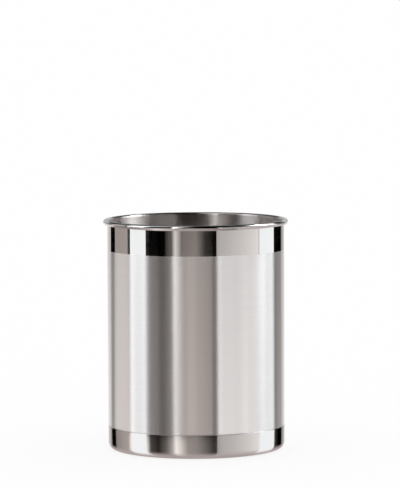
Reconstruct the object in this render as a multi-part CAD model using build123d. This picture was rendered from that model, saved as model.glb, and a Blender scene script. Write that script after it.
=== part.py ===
from build123d import *
import math
import os

# An open steel crock for kitchen utensils. Millimetres, +Z up.
# The origin is the centre of the flat face that it stands on.

# Overall sizes
body_diameter = 136.0
overall_height = 177.5

# Side wall: one sheet rolled into a tube, with its top edge curled outward round a wire
wall_sheet = 0.7
rim_bead_diameter = 3.8
curl_edge_gap = 0.15
wire_clearance = 0.1

# Joint line, where the wall stands on the shoulder of the base pan
joint_height = 18.8
joint_bevel = 0.3
lap_height = 8.0
lap_clearance = 0.05

# Base pan: pressed sheet with a rounded foot, a flat ring and a raised middle
pan_sheet = 0.8
foot_corner_radius = 5.2
standing_ring_width = 5.0
recess_side_run = 1.2
recess_bend_radius = 0.8
joggle_height = 1.4

# Base pad: a soft disc that fills the recess and stands a little proud of the pan
pad_thickness = 2.0
pad_proud = 0.4
pad_margin = 1.0
pad_edge_radius = 0.5

# Places worked out from the sizes
body_radius = body_diameter / 2
wall_inner_radius = body_radius - wall_sheet
bead_radius = rim_bead_diameter / 2
curl_bore_radius = bead_radius - wall_sheet
bead_centre_radius = wall_inner_radius + bead_radius
bead_centre_height = overall_height - bead_radius
upstand_radius = wall_inner_radius - lap_clearance
ring_inner_radius = body_radius - foot_corner_radius - standing_ring_width
panel_radius = ring_inner_radius - recess_side_run
pad_radius = panel_radius - pad_margin


def turned(corners):
    """A solid turned about Z from corners given as (radius, height, rounding)."""
    with BuildPart() as turning:
        with BuildSketch(Plane.XZ):
            with BuildLine():
                FilletPolyline(
                    *[(radius, height) for radius, height, rounding in corners],
                    radius=[rounding for radius, height, rounding in corners],
                    close=True,
                )
            make_face()
        revolve(axis=Axis.Z)
    return turning.part


def make_side_wall():
    """The tube, bevelled at its lower edge, and the curl at its top, which ends close to the wall."""
    end_radius = body_radius + curl_edge_gap
    end_angle = -math.degrees(math.acos((end_radius - bead_centre_radius) / bead_radius))
    start_angle = 180.0
    sweep = end_angle - start_angle
    centre = (bead_centre_radius, bead_centre_height)
    with BuildPart() as wall:
        with BuildSketch(Plane.XZ):
            with BuildLine():
                bore = CenterArc(centre, curl_bore_radius, start_angle, sweep)
                outside = CenterArc(centre, bead_radius, start_angle, sweep)
                Line(bore @ 1, outside @ 1)
                Polyline(
                    outside @ 0,
                    (wall_inner_radius, joint_height),
                    (body_radius - joint_bevel, joint_height),
                    (body_radius, joint_height + joint_bevel),
                    bore @ 0,
                )
            make_face()
        revolve(axis=Axis.Z)
    return wall.part


def make_rim_wire():
    """The wire ring inside the curl."""
    with BuildPart() as wire:
        with BuildSketch(Plane.XZ):
            with Locations((bead_centre_radius, bead_centre_height)):
                Circle(curl_bore_radius - wire_clearance)
        revolve(axis=Axis.Z)
    return wire.part


def make_base_pan():
    """The pan: middle panel, recess side, standing ring, rounded foot, shoulder and upstand."""
    ring_height = pad_proud
    panel_height = pad_thickness
    side_angle = math.atan2(panel_height - ring_height, recess_side_run)
    side_shift = pan_sheet * math.tan(side_angle / 2)
    outer_bend_radius = recess_bend_radius + pan_sheet
    underside = [
        (0, panel_height, 0),
        (panel_radius, panel_height, recess_bend_radius),
        (ring_inner_radius, ring_height, outer_bend_radius),
        (body_radius, ring_height, foot_corner_radius),
        (body_radius, joint_height - joint_bevel, 0),
        (body_radius - joint_bevel, joint_height, 0),
        (upstand_radius, joint_height, 0),
        (upstand_radius, joint_height + lap_height, 0),
    ]
    inside = [
        (upstand_radius - pan_sheet, joint_height + lap_height, 0),
        (upstand_radius - pan_sheet, joint_height, recess_bend_radius),
        (body_radius - pan_sheet, joint_height - joggle_height, recess_bend_radius),
        (body_radius - pan_sheet, ring_height + pan_sheet, foot_corner_radius - pan_sheet),
        (ring_inner_radius + side_shift, ring_height + pan_sheet, recess_bend_radius),
        (panel_radius + side_shift, panel_height + pan_sheet, outer_bend_radius),
        (0, panel_height + pan_sheet, 0),
    ]
    return turned(underside + inside)


def make_base_pad():
    """The pad: a disc with a rounded lower edge, fixed to the underside of the middle panel."""
    return turned(
        [
            (0, 0, 0),
            (pad_radius, 0, pad_edge_radius),
            (pad_radius, pad_thickness, 0),
            (0, pad_thickness, 0),
        ]
    )


parts = {
    "side_wall": make_side_wall(),
    "rim_wire": make_rim_wire(),
    "base_pan": make_base_pan(),
    "base_pad": make_base_pad(),
}

os.makedirs("parts", exist_ok=True)
for name, part in parts.items():
    export_step(part, f"parts/{name}.step")
    print(name, round(part.volume), part.bounding_box().size)
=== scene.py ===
import math
from collections import namedtuple

import bpy
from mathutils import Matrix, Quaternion, Vector


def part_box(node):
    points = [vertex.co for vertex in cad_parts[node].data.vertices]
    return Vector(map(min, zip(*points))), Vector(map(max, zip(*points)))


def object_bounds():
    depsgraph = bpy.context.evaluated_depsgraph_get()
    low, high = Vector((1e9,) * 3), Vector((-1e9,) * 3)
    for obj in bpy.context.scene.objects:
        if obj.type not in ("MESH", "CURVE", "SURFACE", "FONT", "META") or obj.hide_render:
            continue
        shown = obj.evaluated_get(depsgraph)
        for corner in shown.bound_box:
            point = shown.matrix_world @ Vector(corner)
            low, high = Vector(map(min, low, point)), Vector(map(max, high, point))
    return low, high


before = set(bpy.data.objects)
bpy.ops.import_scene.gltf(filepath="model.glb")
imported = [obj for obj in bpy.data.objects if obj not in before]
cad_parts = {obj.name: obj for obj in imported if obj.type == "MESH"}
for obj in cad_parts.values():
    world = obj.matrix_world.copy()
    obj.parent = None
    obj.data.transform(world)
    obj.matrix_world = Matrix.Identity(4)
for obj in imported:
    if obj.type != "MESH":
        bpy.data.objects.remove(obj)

# The steel crock, dressed for its studio picture. Metres, +Z up, angles in degrees.
cad_low, cad_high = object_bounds()

# The wall and the pan under it
BODY_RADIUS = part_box("base_pan")[1].x
JOINT_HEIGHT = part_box("side_wall")[0].z
JOINT_BEVEL = 0.0003
WALL_SHEET = 0.0007
BEAD_DIAMETER = cad_high.x - BODY_RADIUS + WALL_SHEET

# Where the wall's finishes lie: bead and mirror band together are TOP_BAND high, and the satin under them
# starts at SATIN_TOP, over a height of FINISH_BLUR.
TOP_BAND = 0.0233
FINISH_BLUR = 0.0005
SATIN_TOP = cad_high.z - TOP_BAND

# The weld line behind, and how much of its colour shows inside and on the satin
WELD_WIDTH = 0.0012
WELD_INSIDE_SHARE = 0.5
WELD_SATIN_SHARE = 0.35

# Where the pan's finishes lie: it gets duller from FOOT_CORNER down to FOOT_UNDER, and from JOINT_DULL
# under the joint up to the bevel. The band between the rounded foot and the joint is upright in its
# middle, and its slope grows from there by BAND_CROWN for each metre of height.
FOOT_TOP = 0.0056
FOOT_CORNER = 0.0045
FOOT_UNDER = 0.0012
JOINT_DULL = 0.00045
BAND_MIDDLE = (FOOT_TOP + JOINT_HEIGHT) / 2
BAND_CROWN = 5.0

# Colours, as linear red, green and blue
STEEL = (0.80, 0.79, 0.78, 1)
# The satin's steel is lighter than the mirror steel: painted light that brightens the satin band.
LIT_SATIN_STEEL = (0.90, 0.89, 0.88, 1)
# The inside's steel is darker than the satin's: painted shade for the dim inside of the crock.
SHADED_INSIDE_STEEL = (0.84, 0.79, 0.765, 1)
WELD_STEEL = (0.50, 0.48, 0.46, 1)
WIRE_STEEL = (0.60, 0.59, 0.58, 1)
RUBBER = (0.10, 0.10, 0.10, 1)
FLOOR = (0.97, 0.97, 0.97, 1)
WHITE = (1, 1, 1, 1)

# How much darker and lighter each colour gets in places
MIRROR_SPREAD = 0.01
SATIN_SPREAD = 0.012
INSIDE_SPREAD = 0.02
PAN_SPREAD = 0.02
WIRE_SPREAD = 0.02
RUBBER_SPREAD = 0.2

# Roughness, from the smoothest streak to the roughest
MIRROR_ROUGH = (0.04, 0.06)
SATIN_ROUGH = (0.2745, 0.2855)
INSIDE_ROUGH = (0.31, 0.34)
PAN_ROUGH = (0.10, 0.12)
WIRE_ROUGH = (0.3, 0.4)
RUBBER_ROUGH = (0.7, 0.85)
WELD_ROUGH = 0.45
DULL_ROUGH = 0.3

# Brushed steel: how far its highlights are drawn out across the brushing, and the quarter turn that lays
# the brushing round the crock. A small share of the satin scatters light like paint.
ANISOTROPY = 1.0
PAN_ANISOTROPY = 0.8
BRUSH_TURN = 0.25
SATIN_HAZE_SHARE = 0.05

# Noise, as cells to a metre along X, Y and Z. NOISE_MIDDLE is the part of its range that counts.
TONE_CELLS = (30, 30, 60)
BRUSHING_CELLS = (30, 30, 1500)
WALL_STREAK_CELLS = (40, 40, 5000)
PAN_STREAK_CELLS = (60, 60, 3000)
WIRE_STREAK_CELLS = (60, 60, 2000)
GRAIN_CELLS = (2500, 2500, 2500)
GRAIN_DEPTH = 0.0001
NOISE_MIDDLE = (0.3, 0.7)

# The photograph's camera
PHOTO_HEIGHT = 489
SENSOR = 36.0
FOCAL_PIXELS = 3531.6
CAMERA_REACH = 100.0
CAMERA_PLACE = Vector((0.0, -2.709, 0.3853))
CAMERA_PITCH = -4.803
CAMERA_YAW = -0.07
CAMERA_ROLL = -0.26

# The floor, and the share of it that the camera sees as a light table
FLOOR_REACH = 60.0
FLOOR_GLOW_SHARE = 0.84


class Material:
    """A node material with one Principled shader, and short calls that add nodes to it."""

    def __init__(self, name):
        self.material = bpy.data.materials.new(name)
        self.material.use_nodes = True
        self.tree = self.material.node_tree
        self.shader = self.tree.nodes["Principled BSDF"]
        self.place = self.node("ShaderNodeTexCoord").outputs["Object"]
        axes = self.node("ShaderNodeSeparateXYZ")
        self.feed(axes.inputs[0], self.place)
        self.x, self.y, self.z = axes.outputs

    def node(self, kind, **settings):
        made = self.tree.nodes.new(kind)
        for key, value in settings.items():
            setattr(made, key, value)
        return made

    def feed(self, socket, value):
        """Links another node's output to the socket, or sets the socket to a plain value."""
        if isinstance(value, bpy.types.NodeSocket):
            self.tree.links.new(value, socket)
        else:
            socket.default_value = value

    def math(self, operation, *values):
        made = self.node("ShaderNodeMath", operation=operation)
        for socket, value in zip(made.inputs, values):
            self.feed(socket, value)
        return made.outputs[0]

    def ramp(self, value, start, end, low=0.0, high=1.0):
        """low before start and high after end, with a smooth step between them."""
        made = self.node("ShaderNodeMapRange", interpolation_type="SMOOTHSTEP")
        for key, number in (
            ("Value", value),
            ("From Min", start),
            ("From Max", end),
            ("To Min", low),
            ("To Max", high),
        ):
            self.feed(made.inputs[key], number)
        return made.outputs["Result"]

    def noise(self, cells, detail=2.0):
        """Noise from 0 to 1 with so many cells to a metre along X, Y and Z."""
        scaled = self.node("ShaderNodeVectorMath", operation="MULTIPLY")
        self.feed(scaled.inputs[0], self.place)
        self.feed(scaled.inputs[1], cells)
        made = self.node("ShaderNodeTexNoise")
        self.feed(made.inputs["Vector"], scaled.outputs[0])
        self.feed(made.inputs["Scale"], 1.0)
        self.feed(made.inputs["Detail"], detail)
        return made.outputs[0]

    def spread(self, noise, low=0.0, high=1.0):
        """Noise stretched to fill the range from low to high."""
        return self.ramp(noise, *NOISE_MIDDLE, low, high)

    def number(self, share, low, high):
        """A number from low to high by the share."""
        made = self.node("ShaderNodeMix")
        self.feed(made.inputs["Factor"], share)
        self.feed(made.inputs["A"], low)
        self.feed(made.inputs["B"], high)
        return made.outputs["Result"]

    def colour(self, share, low, high):
        """A colour from low to high by the share."""
        made = self.node("ShaderNodeMix", data_type="RGBA")
        self.feed(made.inputs["Factor"], share)
        self.feed(made.inputs["A"], low)
        self.feed(made.inputs["B"], high)
        return made.outputs["Result"]

    def tinted(self, share, colour, spread):
        """That colour, from a little darker to a little lighter by the share."""
        return self.colour(share, shade(colour, 1 - spread), shade(colour, 1 + spread))

    def bump(self, height, distance=1.0):
        """A bump whose height counts in units of that distance, or else in metres."""
        made = self.node("ShaderNodeBump")
        self.feed(made.inputs["Height"], height)
        self.feed(made.inputs["Distance"], distance)
        self.feed(self.shader.inputs["Normal"], made.outputs["Normal"])

    def wear(self, node_name):
        """Puts this material on every slot of a CAD node."""
        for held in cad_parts[node_name].material_slots:
            held.material = self.material


def shade(colour, factor):
    """That colour made darker or lighter, with full opacity."""
    return tuple(part * factor for part in colour[:3]) + (1,)


def steel(name, anisotropy):
    """Bare steel, brushed round the crock's centre line. Its colour and roughness come from the caller."""
    made = Material(name)
    made.shader.inputs["Metallic"].default_value = 1.0
    made.shader.inputs["Anisotropic"].default_value = anisotropy
    made.shader.inputs["Anisotropic Rotation"].default_value = BRUSH_TURN
    tangent = made.node("ShaderNodeTangent", direction_type="RADIAL", axis="Z")
    made.feed(made.shader.inputs["Tangent"], tangent.outputs[0])
    return made


def wall_steel():
    """The side wall: mirror bead and top band, satin middle lightened with painted light, buffed inside
    darkened with painted shade, and a weld line behind.
    """
    made = steel("wall_finish", ANISOTROPY)
    square = made.math("ADD", made.math("MULTIPLY", made.x, made.x), made.math("MULTIPLY", made.y, made.y))
    outside = made.math("GREATER_THAN", made.math("SQRT", square), BODY_RADIUS - WALL_SHEET / 2)
    polished = made.ramp(made.z, SATIN_TOP - FINISH_BLUR / 2, SATIN_TOP + FINISH_BLUR / 2)
    satin = made.math("MULTIPLY", outside, made.math("SUBTRACT", 1.0, polished))
    haze = made.math("MULTIPLY", satin, SATIN_HAZE_SHARE)
    made.feed(made.shader.inputs["Metallic"], made.math("SUBTRACT", 1.0, haze))

    behind = made.math("GREATER_THAN", made.y, 0.0)
    on_line = made.math("MULTIPLY", behind, made.ramp(made.math("ABSOLUTE", made.x), WELD_WIDTH / 2, 0.0))
    weld_share = made.number(outside, WELD_INSIDE_SHARE, made.math("MULTIPLY", satin, WELD_SATIN_SHARE))
    weld = made.math("MULTIPLY", on_line, weld_share)

    tone = made.noise(TONE_CELLS, detail=3)
    brushing = made.spread(made.noise(BRUSHING_CELLS))
    mirror_colour = made.tinted(tone, STEEL, MIRROR_SPREAD)
    # Brushed tone, on a satin steel lightened with painted light.
    lit_satin_colour = made.tinted(brushing, LIT_SATIN_STEEL, SATIN_SPREAD)
    outer_colour = made.colour(satin, mirror_colour, lit_satin_colour)
    # Brushed tone, on an inside steel darkened with painted shade.
    shaded_inner_colour = made.tinted(brushing, SHADED_INSIDE_STEEL, INSIDE_SPREAD)
    plain_colour = made.colour(outside, shaded_inner_colour, outer_colour)
    made.feed(made.shader.inputs["Base Color"], made.colour(weld, plain_colour, WELD_STEEL))

    streaks = made.noise(WALL_STREAK_CELLS)
    satin_rough = made.spread(streaks, *SATIN_ROUGH)
    mirror_rough = made.spread(streaks, *MIRROR_ROUGH)
    inner_rough = made.spread(streaks, *INSIDE_ROUGH)
    outer_rough = made.number(polished, satin_rough, mirror_rough)
    plain_rough = made.number(outside, inner_rough, outer_rough)
    made.feed(made.shader.inputs["Roughness"], made.number(weld, plain_rough, WELD_ROUGH))
    made.wear("side_wall")


def pan_steel():
    """The base pan: polished, with a slight crown, and duller at the foot and at the joint's bevel."""
    made = steel("pan_finish", PAN_ANISOTROPY)
    tone = made.noise(TONE_CELLS, detail=3)
    made.feed(made.shader.inputs["Base Color"], made.tinted(tone, STEEL, PAN_SPREAD))

    rough = made.spread(made.noise(PAN_STREAK_CELLS), *PAN_ROUGH)
    foot = made.ramp(made.z, FOOT_CORNER, FOOT_UNDER)
    bevel = made.ramp(made.z, JOINT_HEIGHT - JOINT_DULL, JOINT_HEIGHT - JOINT_BEVEL)
    dull = made.math("MAXIMUM", foot, bevel)
    made.feed(made.shader.inputs["Roughness"], made.number(dull, rough, DULL_ROUGH))

    offset = made.math("SUBTRACT", made.math("MINIMUM", made.z, JOINT_HEIGHT), BAND_MIDDLE)
    made.bump(made.math("MULTIPLY", made.math("MULTIPLY", offset, offset), -BAND_CROWN / 2))
    made.wear("base_pan")


def wire_steel():
    """The drawn wire inside the curl."""
    made = steel("wire_finish", ANISOTROPY)
    drawn = made.noise(WIRE_STREAK_CELLS)
    made.feed(made.shader.inputs["Base Color"], made.tinted(drawn, WIRE_STEEL, WIRE_SPREAD))
    made.feed(made.shader.inputs["Roughness"], made.spread(drawn, *WIRE_ROUGH))
    made.wear("rim_wire")


def pad_rubber():
    """The pad: dark rubber with a fine grain."""
    made = Material("pad_finish")
    grain = made.noise(GRAIN_CELLS, detail=4)
    made.feed(made.shader.inputs["Base Color"], made.tinted(grain, RUBBER, RUBBER_SPREAD))
    made.feed(made.shader.inputs["Roughness"], made.spread(grain, *RUBBER_ROUGH))
    made.bump(grain, GRAIN_DEPTH)
    made.wear("base_pad")


# The studio: cards on a dome all round the crock, which only glossy rays see. A sheer card lets the light
# of those behind it through, and stands a little nearer.
CARD_RADIUS = 3.0
SHEER_RADIUS = 2.9
CARD_STEP = 3.0
ALL_ROUND = (-180.0, 180.0)

# Rows of cards, as the two elevations that each spans: first the rows that light wall and base alike
ZENITH = (50.0, 90.0)
CEILING = (22.0, 50.0)
HIGH = (0.0, 22.0)
MIDDLE = (-4.5, 0.0)
DIP = (-13.0, -4.5)

# The rows that light the wall alone, and a shelf close under the bead
LOW = (-30.0, -13.0)
TABLE = (-50.0, -30.0)
DEEP = (-90.0, -50.0)
SHELF_DROP = 0.0003
SHELF_GAP = 0.0005
SHELF_REACH = 0.012
SHELF_HEIGHT = cad_high.z - BEAD_DIAMETER - SHELF_DROP
SHELF_RADII = (BODY_RADIUS + SHELF_GAP, BODY_RADIUS + SHELF_REACH)

# The rows that light the base alone
APRON = (-70.0, -13.0)
UNDER = (-90.0, -70.0)

# The cards' colours and the brightness of those that go all round
WHITE_CARD = (1.0, 1.0, 1.0)
PALE_CARD = (1.06, 1.0, 0.98)
WARM_CARD = (1.13, 1.0, 0.94)
COOL_LAMP = (0.98, 1.0, 1.02)
DUSK_CARD = (1.2, 1.0, 0.95)
FOOT_TABLE = (1.16, 1.0, 0.98)
TABLE_GLOW = 0.44
DEEP_GLOW = 0.5

# An apron turns into the table's colour between two tilts of the rounded foot, and a lamp's does so later.
# A shelf is part of the way there all over. LEAST_COSINE keeps the tilt from a division by nought.
CARD_FADE = (5.0, 33.0)
LAMP_FADE = (20.0, 45.0)
SHELF_FADE_SHARE = 0.5
LEAST_COSINE = 0.001

# Each sector spans two azimuths, counted from the camera's side towards +X. Its middle card goes from one
# brightness to another, and so does its dip, with the apron and the shelf. Its other cards have the
# colour called rest and one brightness each. The low one's is also that of a sheer veil over the dip.
Sector = namedtuple(
    "Sector", "name start end paint left right dip_left dip_right rest low high ceiling zenith"
)
SECTORS = (
    Sector("back_left", -180.0, -150.0, PALE_CARD, 0.85, 0.6, 0.85, 0.5, WHITE_CARD, 0.25, 0.5, 0.1, 0.1),
    Sector("back_edge", -150.0, -145.0, PALE_CARD, 0.6, 0.5, 0.36, 0.3, WHITE_CARD, 0.35, 0.4, 0.0, 0.0),
    Sector("black_far_left", -145.0, -136.0, WARM_CARD, 0.0, 0.0, 0.0, 0.0, PALE_CARD, 0.32, 0.3, 0.0, 0.0),
    Sector("edge_far_left", -136.0, -129.5, WARM_CARD, 0.0, 0.0, 0.0, 0.0, PALE_CARD, 0.9, 0.1, 0.0, 0.0),
    Sector("grey_left", -129.5, -98.9, WARM_CARD, 0.34, 0.36, 0.26, 0.42, PALE_CARD, 0.66, 0.45, 0.3, 0.0),
    Sector("gap_left", -98.9, -94.0, WARM_CARD, 0.06, 0.06, 0.5, 1.0, WHITE_CARD, 0.9, 0.0, 0.6, 0.0),
    Sector("lamp_far_left", -94.0, -89.0, COOL_LAMP, 1.1, 1.1, 1.12, 1.12, COOL_LAMP, 0.8, 1.1, 2.4, 1.0),
    Sector("lamp_left", -89.0, -74.0, COOL_LAMP, 1.1, 1.1, 1.12, 1.12, COOL_LAMP, 0.37, 0.8, 2.0, 1.0),
    Sector("lamp_near_left", -74.0, -67.6, COOL_LAMP, 1.1, 1.1, 1.12, 1.12, COOL_LAMP, 0.5, 1.0, 1.2, 1.0),
    Sector("lamp_edge", -67.6, -62.5, PALE_CARD, 0.0, 0.0, 0.95, 0.2, COOL_LAMP, 0.05, 0.2, 0.2, 1.0),
    Sector("black_left", -62.5, -50.0, WARM_CARD, 0.0, 0.0, 0.08, 0.02, WARM_CARD, 0.22, 0.0, 0.0, 0.5),
    Sector("black_near", -50.0, -39.5, WARM_CARD, 0.0, 0.0, 0.02, 0.14, WARM_CARD, 0.0, 0.0, 0.0, 0.2),
    Sector("soft_edge", -39.5, -34.0, WARM_CARD, 0.03, 0.1, 0.14, 0.32, WARM_CARD, 0.1, 0.0, 0.0, 0.8),
    Sector("strip_foot", -34.0, -30.6, WARM_CARD, 0.1, 0.13, 0.32, 0.5, WARM_CARD, 0.0, 0.0, 0.0, 0.4),
    Sector("strip_rise", -30.6, -26.0, PALE_CARD, 0.13, 0.76, 0.5, 1.1, WHITE_CARD, 0.2, 0.9, 4.4, 0.8),
    Sector("strip_fall", -26.0, -18.5, PALE_CARD, 0.74, 0.18, 1.08, 0.7, WHITE_CARD, 0.28, 0.4, 0.6, 0.6),
    Sector("front_far_left", -18.5, -12.0, WARM_CARD, 0.18, 0.21, 0.66, 0.36, WARM_CARD, 0.51, 0.0, 0.0, 0.2),
    Sector("front_left", -12.0, 0.0, WARM_CARD, 0.21, 0.24, 0.34, 0.29, WARM_CARD, 0.8, 0.0, 0.0, 0.0),
    Sector("front_right", 0.0, 12.0, WARM_CARD, 0.24, 0.025, 0.29, 0.16, WARM_CARD, 0.68, 0.0, 0.0, 0.0),
    Sector("front_dark", 12.0, 21.5, WARM_CARD, 0.025, 0.004, 0.16, 0.05, WARM_CARD, 0.62, 0.0, 0.0, 0.0),
    Sector("front_black", 21.5, 26.6, WARM_CARD, 0.004, 0.0, 0.05, 0.04, WARM_CARD, 0.08, 0.0, 0.0, 0.0),
    Sector("pale_line", 26.6, 28.0, PALE_CARD, 0.44, 0.44, 0.42, 0.42, WHITE_CARD, 0.0, 0.0, 0.0, 0.0),
    Sector("pale_edge", 28.0, 33.0, PALE_CARD, 0.44, 0.5, 0.42, 0.5, WHITE_CARD, 1.5, 0.6, 0.1, 0.0),
    Sector("pale_near", 33.0, 50.0, PALE_CARD, 0.5, 0.6, 0.5, 0.58, WHITE_CARD, 1.3, 0.25, 0.1, 0.0),
    Sector("pale_right", 50.0, 72.0, PALE_CARD, 0.6, 0.75, 0.58, 0.74, WHITE_CARD, 1.15, 0.25, 0.1, 0.0),
    Sector("pale_far_right", 72.0, 82.0, PALE_CARD, 0.75, 0.83, 0.74, 0.83, WHITE_CARD, 0.65, 0.25, 0.6, 0.0),
    Sector("lamp_rise", 82.0, 88.6, PALE_CARD, 0.83, 0.88, 0.83, 0.88, WHITE_CARD, 0.2, 0.3, 1.6, 0.0),
    Sector("gap_right", 88.6, 90.4, PALE_CARD, 0.6, 0.6, 0.95, 1.05, WHITE_CARD, 0.2, 0.3, 3.0, 0.0),
    Sector("lamp_near_right", 90.4, 98.0, COOL_LAMP, 1.12, 1.12, 1.1, 1.1, COOL_LAMP, 0.15, 0.3, 4.2, 0.0),
    Sector("lamp_right", 98.0, 110.0, COOL_LAMP, 1.12, 1.12, 1.1, 1.1, COOL_LAMP, 0.35, 0.25, 7.4, 0.0),
    Sector("lamp_far_right", 110.0, 121.6, COOL_LAMP, 1.12, 1.12, 1.1, 1.1, COOL_LAMP, 0.42, 0.75, 4.4, 0.0),
    Sector("black_right", 121.6, 132.0, WARM_CARD, 0.0, 0.0, 0.06, 0.0, WARM_CARD, 0.2, 0.15, 0.0, 0.0),
    Sector("black_far_right", 132.0, 147.0, WARM_CARD, 0.0, 0.0, 0.0, 0.0, PALE_CARD, 0.5, 0.15, 0.0, 0.0),
    Sector("edge_right", 147.0, 156.0, PALE_CARD, 0.3, 0.46, 0.25, 0.43, WHITE_CARD, 0.35, 0.55, 0.1, 0.1),
    Sector("back_right", 156.0, 180.0, PALE_CARD, 0.46, 0.9, 0.43, 0.9, WHITE_CARD, 0.3, 0.55, 0.1, 0.1),
)


def turned(azimuth, radius, height):
    """The point at that azimuth, that far out and that high."""
    turn = math.radians(azimuth)
    return (radius * math.sin(turn), -radius * math.cos(turn), height)


def dome_point(azimuth, elevation, radius):
    """A point on a dome of that radius."""
    rise = math.radians(elevation)
    return turned(azimuth, math.cos(rise) * radius, math.sin(rise) * radius)


def steps(start, end, count=None):
    """Evenly spaced values from start to end, so many or else about CARD_STEP apart."""
    count = count or max(1, round(abs(end - start) / CARD_STEP))
    return [start + (end - start) * i / count for i in range(count + 1)]


def lit(name, *node_names):
    """The group of CAD nodes that a card lights."""
    group = bpy.data.collections.new(name)
    for node_name in node_names:
        group.objects.link(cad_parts[node_name])
    return group


def foot_tilt(azimuth, elevation):
    """How far the rounded foot is turned down where it mirrors a card at that azimuth and elevation."""
    drop = math.sin(math.radians(CAMERA_PITCH)) - math.sin(math.radians(elevation))
    across = max(math.cos(math.radians(azimuth / 2)), LEAST_COSINE)
    return math.degrees(math.asin(min(1.0, drop / across))) / 2


def foot_azimuth(azimuth, tilt):
    """Where a stripe of that azimuth has to lie, so that the foot turned down so far shows it upright."""
    share = math.cos(math.radians(tilt)) ** 2
    turn = math.radians(azimuth)
    return math.degrees(math.atan2(share * math.sin(turn), share * (1 + math.cos(turn)) - 1))


def faded(paint, level, share):
    """A card's colour at that brightness, part of the way to the table's."""
    own = shade(paint, level)
    table = shade(FOOT_TABLE, TABLE_GLOW)
    return [start + (end - start) * share for start, end in zip(own, table)]


def add_sheet(name, rows, glow, colours, lights):
    """A sheet through rows of points, which gives out a colour at each point to glossy rays alone."""
    wide = len(rows[0])
    firsts = [row * wide + place for row in range(len(rows) - 1) for place in range(wide - 1)]
    faces = [(first, first + 1, first + wide + 1, first + wide) for first in firsts]
    mesh = bpy.data.meshes.new(name)
    mesh.from_pydata([point for row in rows for point in row], [], faces)
    light = mesh.attributes.new("glow", "FLOAT_COLOR", "POINT")
    for held, colour in zip(light.data, colours):
        held.color = colour
    mesh.materials.append(glow)
    card = bpy.data.objects.new(name, mesh)
    bpy.context.scene.collection.objects.link(card)
    for ray in ("camera", "diffuse", "transmission", "volume_scatter", "shadow"):
        setattr(card, "visible_" + ray, False)
    card.light_linking.receiver_collection = lights


def add_card(name, span, row, paint, levels, lights, sheer=False):
    """A card over that span of azimuths and that row, which goes from one brightness to another."""
    azimuths = steps(*span)
    radius = SHEER_RADIUS if sheer else CARD_RADIUS
    points = [[dome_point(azimuth, elevation, radius) for azimuth in azimuths] for elevation in steps(*row)]
    colours = [shade(paint, level) for level in steps(*levels, len(azimuths) - 1)] * len(points)
    add_sheet(name, points, sheer_glow if sheer else card_glow, colours, lights)


def add_apron(name, span, row, paint, levels, lights):
    """A sheer card that carries its stripe upright over the foot, and turns into the table's colour."""
    azimuths = steps(*span)
    own_levels = steps(*levels, len(azimuths) - 1)
    fade_start, fade_end = LAMP_FADE if paint is COOL_LAMP else CARD_FADE
    points = []
    colours = []
    for elevation in steps(*row):
        tilts = [foot_tilt(azimuth, elevation) for azimuth in azimuths]
        places = [foot_azimuth(azimuth, tilt) for azimuth, tilt in zip(azimuths, tilts)]
        fades = [min(1.0, max(0.0, (tilt - fade_start) / (fade_end - fade_start))) for tilt in tilts]
        points.append([dome_point(place, elevation, SHEER_RADIUS) for place in places])
        colours += [faded(paint, level, fade) for level, fade in zip(own_levels, fades)]
    add_sheet(name, points, sheer_glow, colours, lights)


def add_shelf(name, span, paint, levels, lights):
    """A narrow card close under the bead, which keeps the low cards out of the bead's lower half."""
    azimuths = steps(*span)
    points = [[turned(azimuth, radius, SHELF_HEIGHT) for azimuth in azimuths] for radius in SHELF_RADII]
    own_levels = steps(*levels, len(azimuths) - 1)
    colours = [faded(paint, level, SHELF_FADE_SHARE) for level in own_levels] * len(points)
    add_sheet(name, points, card_glow, colours, lights)


def add_cards():
    """The cards that go all round, then those of each sector."""
    wall = lit("wall_light", "side_wall", "rim_wire")
    base = lit("base_light", "base_pan", "base_pad")
    add_card("card_deep", ALL_ROUND, DEEP, PALE_CARD, (DEEP_GLOW, DEEP_GLOW), wall)
    add_card("card_table", ALL_ROUND, TABLE, DUSK_CARD, (TABLE_GLOW, TABLE_GLOW), wall)
    add_apron("card_under", ALL_ROUND, UNDER, FOOT_TABLE, (TABLE_GLOW, TABLE_GLOW), base)
    for entry in SECTORS:
        name = "card_" + entry.name
        span = (entry.start, entry.end)
        dip_levels = (entry.dip_left, entry.dip_right)
        low_levels = (entry.low, entry.low)
        add_card(name + "_low", span, LOW, entry.rest, low_levels, wall)
        add_card(name + "_dip", span, DIP, entry.paint, dip_levels, None)
        add_card(name + "_middle", span, MIDDLE, entry.paint, (entry.left, entry.right), None)
        add_card(name + "_high", span, HIGH, entry.rest, (entry.high, entry.high), None)
        add_card(name + "_ceiling", span, CEILING, entry.rest, (entry.ceiling, entry.ceiling), None)
        add_card(name + "_zenith", span, ZENITH, entry.rest, (entry.zenith, entry.zenith), None)
        add_card(name + "_veil", span, DIP, entry.rest, low_levels, wall, sheer=True)
        add_apron(name + "_apron", span, APRON, entry.paint, dip_levels, base)
        add_shelf("shelf_" + entry.name, span, entry.paint, dip_levels, wall)


def glow_material(name, sheer=False):
    """Gives out the colour that the glow attribute says. A sheer one also lets light through."""
    made = bpy.data.materials.new(name)
    made.use_nodes = True
    tree = made.node_tree
    tree.nodes.remove(tree.nodes["Principled BSDF"])
    reader = tree.nodes.new("ShaderNodeAttribute")
    reader.attribute_name = "glow"
    emitter = tree.nodes.new("ShaderNodeEmission")
    tree.links.new(reader.outputs["Color"], emitter.inputs["Color"])
    surface = tree.nodes["Material Output"].inputs["Surface"]
    if sheer:
        both = tree.nodes.new("ShaderNodeAddShader")
        tree.links.new(emitter.outputs[0], both.inputs[0])
        tree.links.new(tree.nodes.new("ShaderNodeBsdfTransparent").outputs[0], both.inputs[1])
        tree.links.new(both.outputs[0], surface)
    else:
        tree.links.new(emitter.outputs[0], surface)
    return made


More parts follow.
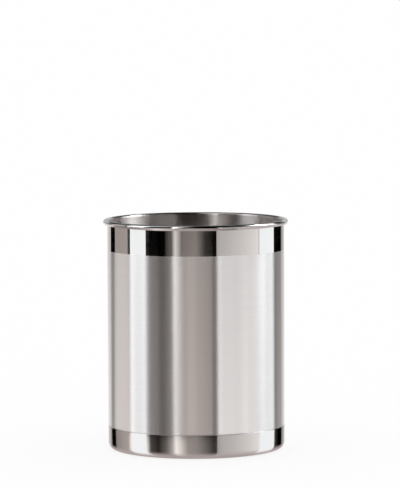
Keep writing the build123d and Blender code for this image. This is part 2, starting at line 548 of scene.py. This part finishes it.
def add_floor():
    """A wide pale floor. The camera sees it partly as a light table, so the shadow stays soft and pale."""
    mesh = bpy.data.meshes.new("floor")
    corners = ((-1, -1), (1, -1), (1, 1), (-1, 1))
    mesh.from_pydata([(x * FLOOR_REACH, y * FLOOR_REACH, 0) for x, y in corners], [], [(0, 1, 2, 3)])
    paint = Material("floor_paint")
    paint.feed(paint.shader.inputs["Base Color"], FLOOR)
    paint.feed(paint.shader.inputs["Roughness"], 1.0)
    paint.feed(paint.shader.inputs["Specular IOR Level"], 0.0)
    rays = paint.node("ShaderNodeLightPath")
    glow = paint.node("ShaderNodeEmission")
    paint.feed(glow.inputs["Color"], WHITE)
    both = paint.node("ShaderNodeMixShader")
    paint.feed(both.inputs[0], paint.math("MULTIPLY", rays.outputs["Is Camera Ray"], FLOOR_GLOW_SHARE))
    paint.feed(both.inputs[1], paint.shader.outputs[0])
    paint.feed(both.inputs[2], glow.outputs[0])
    paint.feed(paint.tree.nodes["Material Output"].inputs["Surface"], both.outputs[0])
    mesh.materials.append(paint.material)
    floor = bpy.data.objects.new("floor", mesh)
    bpy.context.scene.collection.objects.link(floor)
    floor.visible_glossy = False


def add_world():
    """Even white light from all round."""
    world = bpy.data.worlds.new("studio")
    world.use_nodes = True
    world.node_tree.nodes["Background"].inputs["Color"].default_value = WHITE
    world.node_tree.nodes["Background"].inputs["Strength"].default_value = 1.0
    bpy.context.scene.world = world


def add_camera():
    """The photograph's camera. The picture is upright, so its height is what the sensor's width spans."""
    data = bpy.data.cameras.new("camera")
    data.sensor_width = SENSOR
    data.lens = FOCAL_PIXELS * SENSOR / PHOTO_HEIGHT
    data.clip_end = CAMERA_REACH
    camera = bpy.data.objects.new("camera", data)
    bpy.context.scene.collection.objects.link(camera)
    turn = Quaternion((0, 0, 1), math.radians(CAMERA_YAW))
    tilt = Quaternion((1, 0, 0), math.radians(90 + CAMERA_PITCH))
    roll = Quaternion((0, 0, 1), math.radians(CAMERA_ROLL))
    camera.rotation_mode = "QUATERNION"
    camera.rotation_quaternion = turn @ tilt @ roll
    camera.location = CAMERA_PLACE
    bpy.context.scene.camera = camera


wall_steel()
pan_steel()
wire_steel()
pad_rubber()
card_glow = glow_material("card_glow")
sheer_glow = glow_material("sheer_glow", sheer=True)
add_cards()
add_floor()
add_world()
add_camera()
bpy.context.scene.view_settings.view_transform = "Standard"
